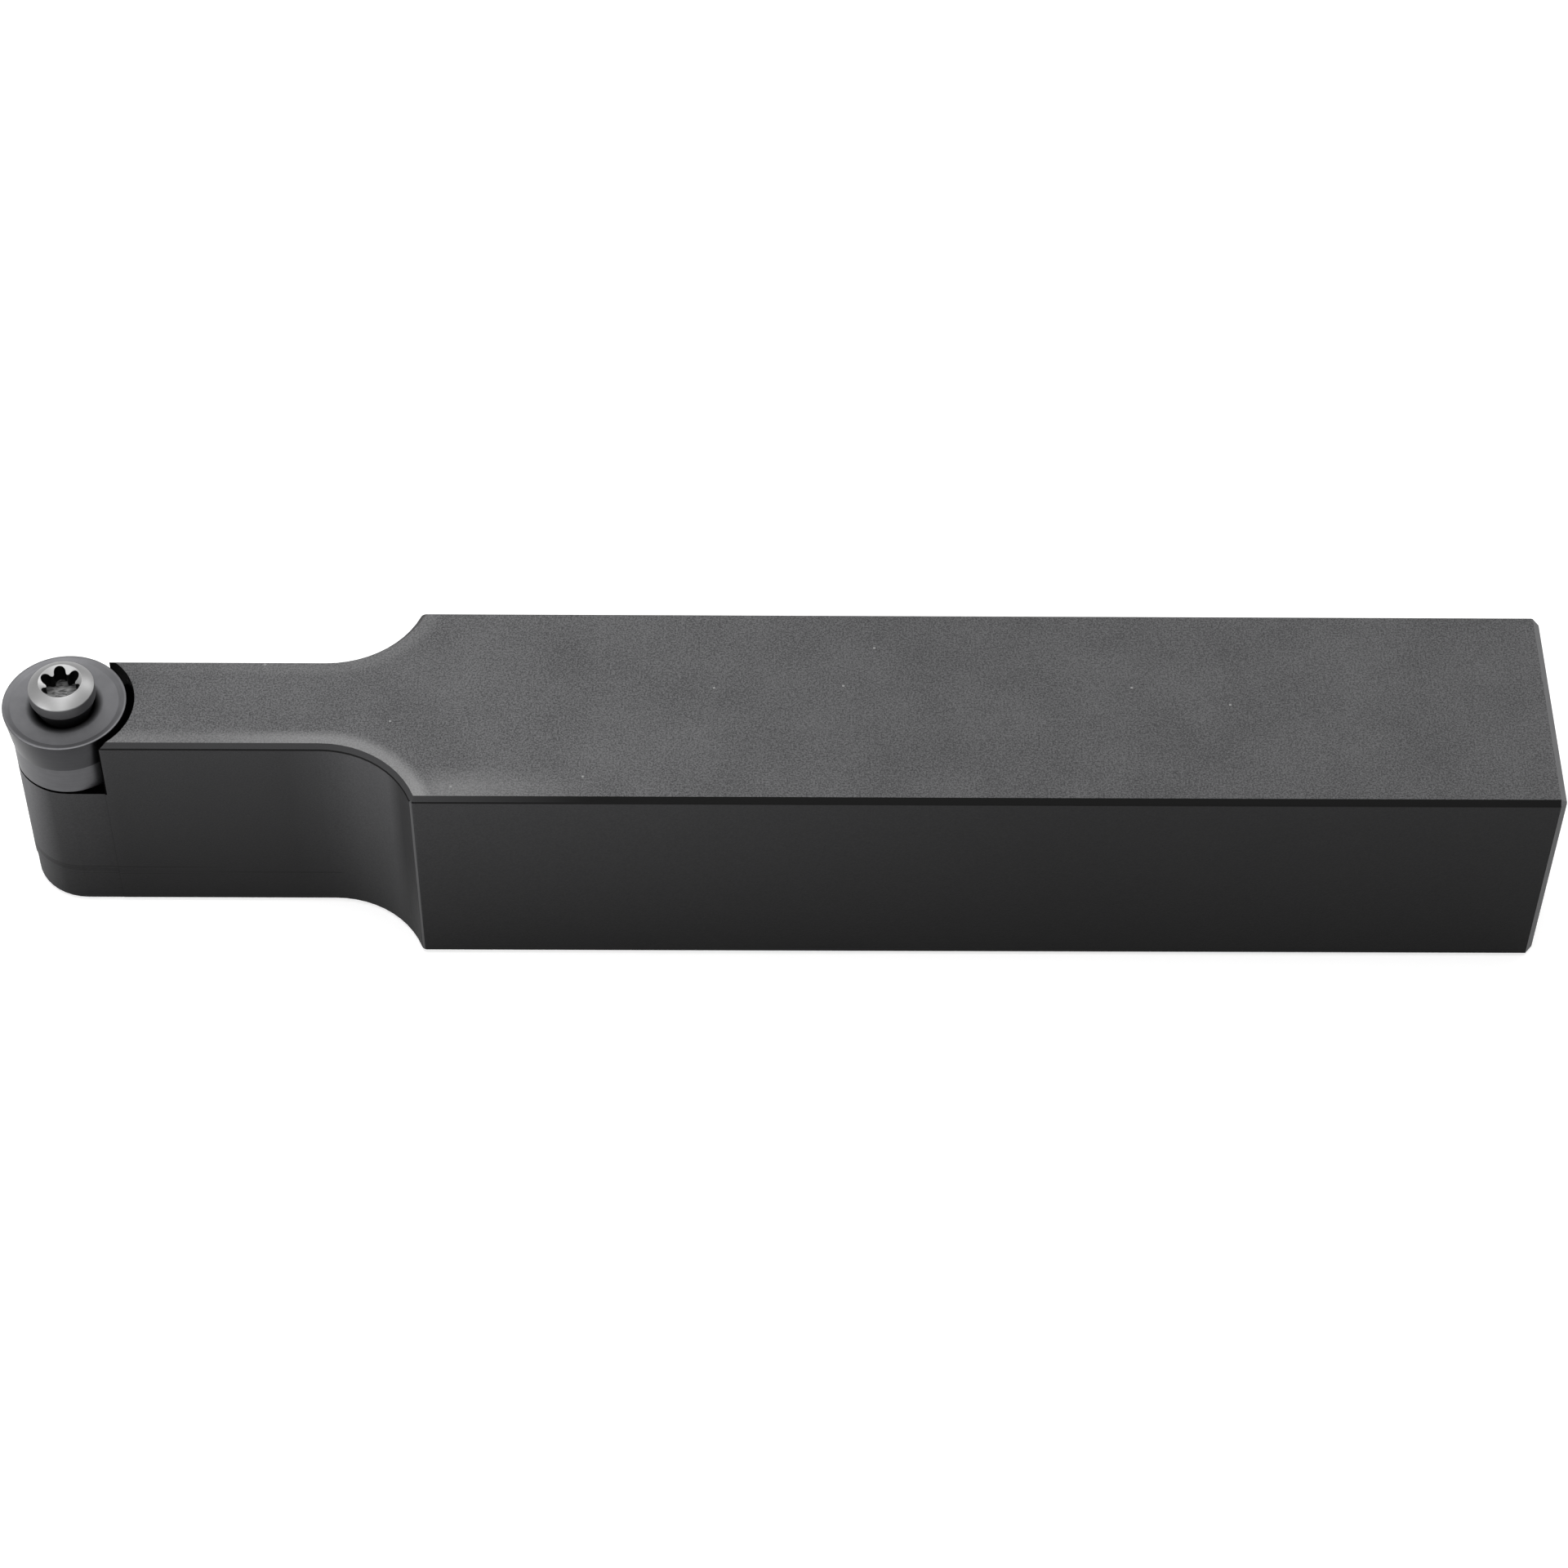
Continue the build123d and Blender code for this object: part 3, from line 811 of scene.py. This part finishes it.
@dataclass(frozen=True)
class Thread:
    """A 60 degree screw thread wound round the tool axis, with a chamfered tip, in mm."""

    radius: float
    root_radius: float
    pitch: float
    tip_z: float
    top_z: float
    runout: float
    tip_chamfer: float
    steps: int = 64
    core_steps: int = 77  # unlike the ridge's, so that no edge of one lies along the other's

    def ridge(self) -> list[tuple[float, float]]:
        """Traces the ridge of one turn, its foot sunk a little into the core."""
        crest = self.pitch / 8
        flank = (self.pitch * 3 / 8) / 2 + self.pitch / 16
        sunk = 0.05  # keeps the foot of the ridge clear of the core's surface
        foot = flank * (1 + sunk / (self.radius - self.root_radius))
        return [
            (self.root_radius - sunk, 0.0),
            (self.radius, foot),
            (self.radius, foot + crest),
            (self.root_radius - sunk, 2 * foot + crest),
        ]

    def wind(self, name: str) -> Solid:
        """Winds the ridge up the core and trims both to the blank.

        Args:
            name: The new object's name.

        Returns:
            The threaded part, closed at both ends.
        """
        start = self.tip_z - 2 * self.pitch
        ridge = self.ridge()
        winding_line = draw_chain(
            "ridge", [(radius, 0.0, start + rise) for radius, rise in [*ridge, ridge[0]]]
        )
        select_mesh()
        bpy.ops.mesh.remove_doubles(threshold=WELD)
        bpy.ops.object.mode_set(mode="OBJECT")
        winding = winding_line.modifiers.new("winding", "SCREW")
        winding.screw_offset = self.pitch * MM
        winding.iterations = int((self.top_z - self.tip_z) / self.pitch) + 4
        winding.steps = winding.render_steps = self.steps
        bpy.ops.object.modifier_apply(modifier=winding.name)
        bpy.ops.object.mode_set(mode="EDIT")
        select_mesh()
        bpy.ops.mesh.fill_holes(sides=0)
        select_mesh()
        bpy.ops.transform.translate(value=(AXIS_X * MM, 0, 0))
        bpy.ops.mesh.normals_make_consistent(inside=False)
        bpy.ops.object.mode_set(mode="OBJECT")
        low, high = start - self.pitch, self.top_z + self.runout + 3 * self.pitch
        thread = turn_solid(
            name,
            [(0, low), (self.root_radius, low), (self.root_radius, high), (0, high)],
            self.core_steps,
        )
        carve(thread, winding_line, Cut.JOIN)
        outside = self.radius + 0.01
        blank = turn_solid(
            "blank",
            [
                (0, self.tip_z),
                (self.radius - self.tip_chamfer, self.tip_z),
                (outside, self.tip_z + self.tip_chamfer + 0.01),
                (outside, self.top_z),
                (self.root_radius - 0.01, self.top_z + self.runout),
                (0, self.top_z + self.runout),
            ],
        )
        carve(thread, blank, Cut.TRIM)
        return thread


@dataclass
class RoundInsert(Part):
    """Round insert with a honed edge, an edge land, a sloping rake and a funnelled hole."""

    node: str = "insert"
    body: Body = Body.INSERT
    slot: str = "insert_carbide"
    radius: float = 5.0
    edge_z: float = 20.0
    foot_z: float = 16.82
    clearance: float = 7.0
    hone: float = 0.11
    land: float = 0.2
    rake_foot_radius: float = 4.35
    chip_floor_z: float = 19.8
    funnel_radius: float = 1.3
    hole_radius: float = 1.9
    foot_chamfer: float = 0.08

    def profile(self) -> list[tuple[float, float]]:
        """Traces half the section, from the foot round the edge and back down the hole."""
        taper = tan(radians(self.clearance))
        foot = self.radius - (self.edge_z - self.foot_z) * taper
        hone_centre = (
            self.radius - self.hone * taper - self.hone / cos(radians(self.clearance)),
            self.edge_z - self.hone,
        )
        rake_top = self.radius - self.land
        soft = 0.03
        slope = (self.edge_z - self.chip_floor_z) / (rake_top - self.rake_foot_radius)
        throat = (self.hole_radius + self.funnel_radius, self.chip_floor_z - self.funnel_radius)
        return [
            (self.hole_radius, self.foot_z + 0.1),
            (self.hole_radius + 0.1, self.foot_z),
            (foot - self.foot_chamfer, self.foot_z),
            (foot + self.foot_chamfer * taper, self.foot_z + self.foot_chamfer),
            *arc_points(hone_centre, self.hone, -self.clearance, 90, 6),
            (rake_top + soft, self.edge_z),
            (rake_top - soft, self.edge_z - soft * slope),
            (self.rake_foot_radius + soft, self.chip_floor_z + soft * slope),
            (self.rake_foot_radius - soft, self.chip_floor_z),
            *arc_points(throat, self.funnel_radius, 90, 180, 14),
        ]

    def build(self, material: Material) -> Solid:
        """Builds the whole insert.

        Args:
            material: Its finish.

        Returns:
            The finished piece.
        """
        return self.stand_in(turn_solid("round_insert_honed", self.profile(), 256), material)


@dataclass
class ShimScrew(Part):
    """Hollow flanged screw that holds the shim: real M6 x 0.75 thread, hexagon socket, bore."""

    node: str = "shim_screw"
    body: Body = Body.TOOL
    slot: str = "shim_screw_steel"
    thread: Thread = Thread(2.99, 2.54, 0.75, 7.32, 13.97, 0.45, 0.4)
    flange_seat_z: float = 15.32
    flange_top_z: float = 16.62
    flange_radius: float = 3.5
    rim_chamfer: float = 0.15
    neck_radius: float = 2.5
    bore_radius: float = 1.8
    socket_flats: float = 4.0
    socket_depth: float = 2.2
    relief: float = 0.9  # bare neck between thread and flange

    def cut_socket(self, screw: Solid) -> None:
        """Cuts the bore and the hexagon socket.

        Args:
            screw: The screw, which is cut.
        """
        low, high = self.thread.tip_z - 1, self.flange_top_z + 1
        bore = turn_solid(
            "bore", [(0, low), (self.bore_radius, low), (self.bore_radius, high), (0, high)]
        )
        carve(screw, bore, Cut.TAKE_AWAY)
        bpy.ops.object.select_all(action="DESELECT")
        floor = self.flange_top_z - self.socket_depth
        bpy.ops.mesh.primitive_cylinder_add(
            vertices=6,
            radius=self.socket_flats / sqrt(3) * MM,
            depth=(high - floor) * MM,
            location=(AXIS_X * MM, 0, (high + floor) / 2 * MM),
        )
        carve(screw, bpy.context.object, Cut.TAKE_AWAY)

    def build(self, material: Material) -> Solid:
        """Builds the whole screw.

        Args:
            material: Its finish.

        Returns:
            The finished piece.
        """
        top = self.flange_seat_z - self.relief
        screw = turn_solid(
            "shim_screw_threaded",
            [
                (0, top - 1.0),
                (self.neck_radius, top - 1.0),
                (self.neck_radius, self.flange_seat_z),
                (self.flange_radius, self.flange_seat_z),
                (self.flange_radius, self.flange_top_z - self.rim_chamfer),
                (self.flange_radius - self.rim_chamfer, self.flange_top_z),
                (0, self.flange_top_z),
            ],
        )
        carve(screw, self.thread.wind("shim_screw_thread"), Cut.JOIN)
        self.cut_socket(screw)
        return self.stand_in(screw, material)


@dataclass
class ClampScrew(Part):
    """Domed six-lobe screw with a slim cone, a relieved neck and a real 0.6 mm pitch thread."""

    node: str = "clamp_screw"
    body: Body = Body.SCREW
    slot: str = "clamp_screw_steel"
    thread: Thread = Thread(1.745, 1.385, 0.6, 9.605, 16.0, 0.45, 0.5)
    cone_foot_z: float = 17.72
    rim_z: float = 20.905
    dome_foot_z: float = 21.955
    top_z: float = 22.605
    head_radius: float = 2.66
    dome_radius: float = 3.8
    neck_radius: float = 1.5
    lobe_radius: float = 1.675
    lobe_fillet: float = 0.45
    crest_radius: float = 0.2
    crest_centre: float = 1.35
    lobes: int = 6
    phase: float = 39.0
    drive_depth: float = 1.8
    floor_dish: float = 0.06
    mouth_radius: float = 1.75
    mouth_slope: float = 38.0
    cutter_rise: float = 0.5  # how far the cutter of the drive starts above the dome

    def drive_outline(self, samples: int = 6) -> list[tuple[float, float]]:
        """Traces the six-lobe outline as fillet, lobe arc, fillet and crest arc.

        Args:
            samples: Points to each arc.

        Returns:
            Points as (x, y) from the axis, in millimetres, all the way round.
        """
        reach = self.lobe_radius - self.lobe_fillet
        gap = self.crest_radius + self.lobe_fillet
        swing = acos((reach**2 + self.crest_centre**2 - gap**2) / (2 * reach * self.crest_centre))
        half_step = pi / self.lobes
        outline: list[tuple[float, float]] = []
        for lobe in range(self.lobes):
            middle = radians(self.phase) + lobe * 2 * half_step
            offset = half_step - swing
            crest = middle + half_step
            for side in (-1, 1):
                at = middle + side * offset
                centre = Vector((reach * cos(at), reach * sin(at)))
                neighbour = middle + side * half_step
                towards = Vector(
                    (self.crest_centre * cos(neighbour), self.crest_centre * sin(neighbour))
                ) - centre
                start = atan2(towards.y, towards.x)
                turn = (at - start + pi) % (2 * pi) - pi
                arc = [start + turn * k / samples for k in range(samples + 1)]
                if side == 1:
                    arc.reverse()
                outline += round_points(centre, self.lobe_fillet, arc)
            centre = Vector((self.crest_centre * cos(crest), self.crest_centre * sin(crest)))
            first = Vector(outline[-1]) - centre
            start = atan2(first.y, first.x)
            inward = crest + pi
            turn = (inward - start + pi) % (2 * pi) - pi
            arc = [start + turn * k / samples for k in range(1, 2 * samples)]
            outline += round_points(centre, self.crest_radius, arc)
        return outline

    def dome(self, samples: int = 10) -> list[tuple[float, float]]:
        """Traces the dome from the side of the head up to the mouth of the drive.

        Args:
            samples: Steps along the arc.

        Returns:
            Corners as (radius, height), in millimetres.
        """
        foot = Vector((self.head_radius, self.dome_foot_z))
        mouth = Vector((self.mouth_radius, self.top_z))
        chord = mouth - foot
        inward = Vector((-chord.y, chord.x)).normalized()
        sink = sqrt(self.dome_radius**2 - (chord.length / 2) ** 2)
        centre = (foot + mouth) / 2 + inward * sink
        start = atan2(foot.y - centre.y, foot.x - centre.x)
        end = atan2(mouth.y - centre.y, mouth.x - centre.x)
        arc = [start + (end - start) * (k + 0.5) / samples for k in range(samples)]
        return [*round_points(centre, self.dome_radius, arc), (self.mouth_radius, self.top_z)]

    def cut_drive(self, head: Solid) -> None:
        """Cuts the lobed recess, its dished floor and the bevel of its mouth.

        Args:
            head: The screw, which is cut.
        """
        above = self.top_z + self.cutter_rise
        outline = [(AXIS_X + x, y, above) for x, y in self.drive_outline()]
        cutter = draw_chain("drive_cutter", outline)
        select_mesh()
        bpy.ops.mesh.edge_face_add()
        depth = self.drive_depth + self.cutter_rise
        bpy.ops.mesh.extrude_region_move(TRANSFORM_OT_translate={"value": (0, 0, -depth * MM)})
        dish = -self.floor_dish * MM
        bpy.ops.mesh.extrude_region_move(TRANSFORM_OT_translate={"value": (0, 0, dish)})
        floor_centre = (AXIS_X * MM, 0, (self.top_z - self.drive_depth - self.floor_dish) * MM)
        bpy.ops.transform.resize(value=(0.3, 0.3, 1), center_override=floor_centre)
        select_mesh()
        bpy.ops.mesh.normals_make_consistent(inside=False)
        bpy.ops.object.mode_set(mode="OBJECT")
        carve(head, cutter, Cut.TAKE_AWAY)
        fall = (self.mouth_radius + 0.01) * tan(radians(self.mouth_slope))
        rise = 0.2
        wide = self.mouth_radius + rise / tan(radians(self.mouth_slope))
        mouth = turn_solid(
            "mouth_cutter",
            [(0, self.top_z - fall), (wide, self.top_z + rise), (0, self.top_z + rise)],
        )
        carve(head, mouth, Cut.TAKE_AWAY)

    def build(self, material: Material) -> Solid:
        """Builds the whole screw.

        Args:
            material: Its finish.

        Returns:
            The finished piece.
        """
        root, low = self.thread.root_radius - 0.02, self.thread.top_z
        screw = turn_solid(
            "clamp_screw_threaded",
            [
                (0, low),
                (root, low),
                (root, low + 0.3),
                (self.neck_radius, low + 0.5),
                (self.neck_radius, self.cone_foot_z),
                (self.head_radius - 0.03, self.rim_z - 0.04),
                (self.head_radius, self.rim_z + 0.04),
                (self.head_radius, self.dome_foot_z - 0.05),
                *self.dome(),
                (0, self.top_z),
            ],
        )
        self.cut_drive(screw)
        carve(screw, self.thread.wind("clamp_screw_thread"), Cut.JOIN)
        return self.stand_in(screw, material)


@dataclass(frozen=True)
class SoftLamp:
    """One square soft lamp: its place and aim in metres, its side in metres, its watts."""

    name: str
    place: tuple[float, float, float]
    size: float
    power: float
    aim: tuple[float, float, float]


@dataclass(frozen=True)
class Studio:
    """Pale floor, soft lamps, dim room and the camera."""

    floor_size: float = 12.0
    floor_glow: float = 0.6  # only seen, so that the floor is white without lighting the tool
    room_light: float = 0.15
    lens: float = 93.9375
    camera_place: tuple[float, float, float] = (-2.8039, -213.9512, 270.6955)
    pitch: float = 0.8836
    yaw: float = 0.0154
    roll: float = 0.0155
    lamps: tuple[SoftLamp, ...] = (
        SoftLamp("key", (-0.04, 0.07, 0.69), 0.5, 3.6, (-0.02, 0, 0.01)),
        SoftLamp("front", (-0.04, -0.42, 0.56), 0.2, 0.8, (-0.03, 0, 0.01)),
        SoftLamp("left", (-0.44, -0.3, 0.14), 0.25, 1.9, (-0.05, 0, 0.01)),
        SoftLamp("right", (0.42, 0.42, 0.38), 0.25, 1.1, (-0.02, 0, 0.01)),
    )

    def ray_factor(self, tree: Tree) -> Socket:
        """Returns a factor that is 1 for camera, glossy and transmission rays."""
        path = add_node(tree, "LightPath")
        factor = path.outputs["Is Camera Ray"]
        for kind in ("Is Glossy Ray", "Is Transmission Ray"):
            added = add_node(
                tree, "Math", {0: factor, 1: path.outputs[kind]}, operation="ADD", use_clamp=True
            )
            factor = added.outputs[0]
        return factor

    def lay_floor(self) -> Solid:
        """Lays the floor under the tool and returns it."""
        bpy.ops.mesh.primitive_plane_add(size=self.floor_size, location=(0, 0, 0))
        floor = bpy.context.object
        floor.name = "floor"
        material, tree = new_material("pale_floor")
        matt = add_node(tree, "BsdfDiffuse", {"Color": linear("d2d2d2")})
        lift = add_node(tree, "Emission", {"Color": (1, 1, 1, 1), "Strength": self.floor_glow})
        none = add_node(tree, "Emission", {"Strength": 0.0})
        mixed = add_node(tree, "MixShader", {0: self.ray_factor(tree), 1: none, 2: lift})
        both = add_node(tree, "AddShader", {0: matt, 1: mixed})
        add_node(tree, "OutputMaterial", {"Surface": both})
        floor.data.materials.append(material)
        return floor

    def set_world(self) -> None:
        """Gives the room a dim even light, and white where it is seen."""
        world = bpy.data.worlds.new("room")
        world.use_nodes = True
        bpy.context.scene.world = world
        tree = world.node_tree
        tree.nodes.clear()
        dim = add_node(tree, "Background", {"Color": (1, 1, 1, 1), "Strength": self.room_light})
        seen = add_node(tree, "Background", {"Color": (1, 1, 1, 1), "Strength": 1.0})
        mixed = add_node(tree, "MixShader", {0: self.ray_factor(tree), 1: dim, 2: seen})
        add_node(tree, "OutputWorld", {"Surface": mixed})

    def hang(self, lamp: SoftLamp) -> None:
        """Hangs one soft lamp, turned towards the tool."""
        light = bpy.data.lights.new(lamp.name, "AREA")
        light.shape = "SQUARE"
        light.size = lamp.size
        light.energy = lamp.power
        hung = bpy.data.objects.new(lamp.name, light)
        bpy.context.scene.collection.objects.link(hung)
        towards = Vector(lamp.aim) - Vector(lamp.place)
        turn = towards.to_track_quat("-Z", "Y").to_matrix().to_4x4()
        hung.matrix_world = Matrix.Translation(lamp.place) @ turn

    def set_camera(self) -> None:
        """Places the camera and makes it the scene's own."""
        flat = cos(self.pitch)
        ahead = Vector((sin(self.yaw) * flat, cos(self.yaw) * flat, -sin(self.pitch)))
        level = Vector((cos(self.yaw), -sin(self.yaw), 0.0))
        up = level.cross(ahead)
        right = cos(self.roll) * level + sin(self.roll) * up
        top = cos(self.roll) * up - sin(self.roll) * level
        data = bpy.data.cameras.new("camera")
        data.lens = self.lens
        data.sensor_width = 36.0
        data.clip_start = 0.01
        camera = bpy.data.objects.new("camera", data)
        bpy.context.scene.collection.objects.link(camera)
        turn = Matrix((right, top, -ahead)).transposed().to_4x4()
        camera.matrix_world = Matrix.Translation(Vector(self.camera_place) * MM) @ turn
        bpy.context.scene.camera = camera

    def build(self) -> None:
        """Builds the whole studio."""
        bpy.context.scene.view_settings.view_transform = "Standard"
        self.lay_floor()
        self.set_world()
        for lamp in self.lamps:
            self.hang(lamp)
        self.set_camera()


def main() -> None:
    """Builds the studio, then every piece of the tool."""
    logging.basicConfig(level=logging.INFO)
    Studio().build()
    Part("holder", Body.TOOL, "blackened_steel").dress(BlackOxideSteel().make())
    shim_finish = SinteredCarbide(
        name="ground_shim_carbide",
        flank="535355",
        face="535355",
        flank_roughness=0.45,
        hole_fade_mm=(0.5, 0.6),
    )
    Part("shim", Body.TOOL, "shim_carbide").dress(shim_finish.make())
    screw_finish = ScrewSteel().make()
    ShimScrew().build(screw_finish)
    RoundInsert().build(SinteredCarbide().make())
    ClampScrew().build(screw_finish)


if __name__ == "__main__":
    main()
